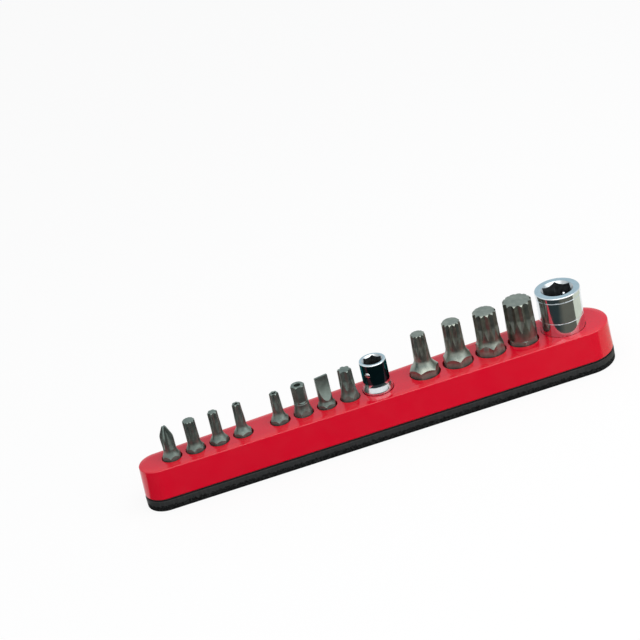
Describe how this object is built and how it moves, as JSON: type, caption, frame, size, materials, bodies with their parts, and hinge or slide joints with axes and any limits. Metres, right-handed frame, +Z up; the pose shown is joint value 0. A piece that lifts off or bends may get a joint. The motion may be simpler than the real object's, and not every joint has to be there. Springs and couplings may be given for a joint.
{
  "type": "magnetic bit tray",
  "caption": "Slim tray with a tapered, round-ended block on a magnet sheet; its row of round holes holds hex-shank bits, a bit holder and an adapter upright.",
  "frame": {"origin": "centre of the magnet sheet's underside, which is the bottom centre of the whole part", "axes": "+X along the hole row towards the large hole, +Z up out of the holes"},
  "size_m": [0.1892, 0.0248, 0.0346],
  "materials": {
    "red_plastic": "semi-gloss moulded",
    "magnet_rubber": "matt, die-cut edge",
    "film": "tacky film",
    "bit_steel": "satin gunmetal",
    "tool_chrome": "polished",
    "pin_steel": "bright",
    "ball_steel": "polished ball",
    "spring_steel": "wire"
  },
  "bodies": {
    "tray": {"tray_body": "red_plastic", "magnet_base": "magnet_rubber", "adhesive_film": "film"},
    "cross_bit_tool": {"cross_bit": "bit_steel"},
    "spline_bit_small_tool": {"spline_bit_small": "bit_steel"},
    "star_bit_plain_tool": {"star_bit_plain": "bit_steel"},
    "star_bit_bored_tool": {"star_bit_bored": "bit_steel"},
    "star_bit_slim_tool": {"star_bit_slim": "bit_steel"},
    "hex_bit_bored_tool": {"hex_bit_bored": "bit_steel"},
    "slotted_bit_tool": {"slotted_bit": "bit_steel"},
    "star_bit_large_tool": {"star_bit_large": "bit_steel"},
    "bit_holder": {"holder_body": "tool_chrome", "holder_pin": "pin_steel"},
    "spline_bit_1_tool": {"spline_bit_1": "bit_steel"},
    "spline_bit_2_tool": {"spline_bit_2": "bit_steel"},
    "spline_bit_3_tool": {"spline_bit_3": "bit_steel"},
    "spline_bit_4_tool": {"spline_bit_4": "bit_steel"},
    "adapter": {"adapter_body": "tool_chrome", "adapter_ball_spring": "spring_steel"},
    "ball": {"adapter_ball": "ball_steel"}
  },
  "joints": [
    {"name": "lift_cross_bit", "type": "slide", "parent": "tray", "child": "cross_bit_tool", "axis": [0, 0, 1], "range_m": [0, 0.015]},
    {"name": "lift_spline_bit_small", "type": "slide", "parent": "tray", "child": "spline_bit_small_tool", "axis": [0, 0, 1], "range_m": [0, 0.015]},
    {"name": "lift_star_bit_plain", "type": "slide", "parent": "tray", "child": "star_bit_plain_tool", "axis": [0, 0, 1], "range_m": [0, 0.015]},
    {"name": "lift_star_bit_bored", "type": "slide", "parent": "tray", "child": "star_bit_bored_tool", "axis": [0, 0, 1], "range_m": [0, 0.015]},
    {"name": "lift_star_bit_slim", "type": "slide", "parent": "tray", "child": "star_bit_slim_tool", "axis": [0, 0, 1], "range_m": [0, 0.015]},
    {"name": "lift_hex_bit_bored", "type": "slide", "parent": "tray", "child": "hex_bit_bored_tool", "axis": [0, 0, 1], "range_m": [0, 0.015]},
    {"name": "lift_slotted_bit", "type": "slide", "parent": "tray", "child": "slotted_bit_tool", "axis": [0, 0, 1], "range_m": [0, 0.015]},
    {"name": "lift_star_bit_large", "type": "slide", "parent": "tray", "child": "star_bit_large_tool", "axis": [0, 0, 1], "range_m": [0, 0.015]},
    {"name": "lift_bit_holder", "type": "slide", "parent": "tray", "child": "bit_holder", "axis": [0, 0, 1], "range_m": [0, 0.015]},
    {"name": "lift_spline_bit_1", "type": "slide", "parent": "tray", "child": "spline_bit_1_tool", "axis": [0, 0, 1], "range_m": [0, 0.015]},
    {"name": "lift_spline_bit_2", "type": "slide", "parent": "tray", "child": "spline_bit_2_tool", "axis": [0, 0, 1], "range_m": [0, 0.015]},
    {"name": "lift_spline_bit_3", "type": "slide", "parent": "tray", "child": "spline_bit_3_tool", "axis": [0, 0, 1], "range_m": [0, 0.015]},
    {"name": "lift_spline_bit_4", "type": "slide", "parent": "tray", "child": "spline_bit_4_tool", "axis": [0, 0, 1], "range_m": [0, 0.015]},
    {"name": "lift_adapter", "type": "slide", "parent": "tray", "child": "adapter", "axis": [0, 0, 1], "range_m": [0, 0.015]},
    {"name": "ball_press", "type": "slide", "parent": "adapter", "child": "ball", "axis": [0.682, 0.7314, 0], "range_m": [0, 0.0006], "stiffness_N_per_m": 300, "deforming": ["adapter_ball_spring"]}
  ]
}
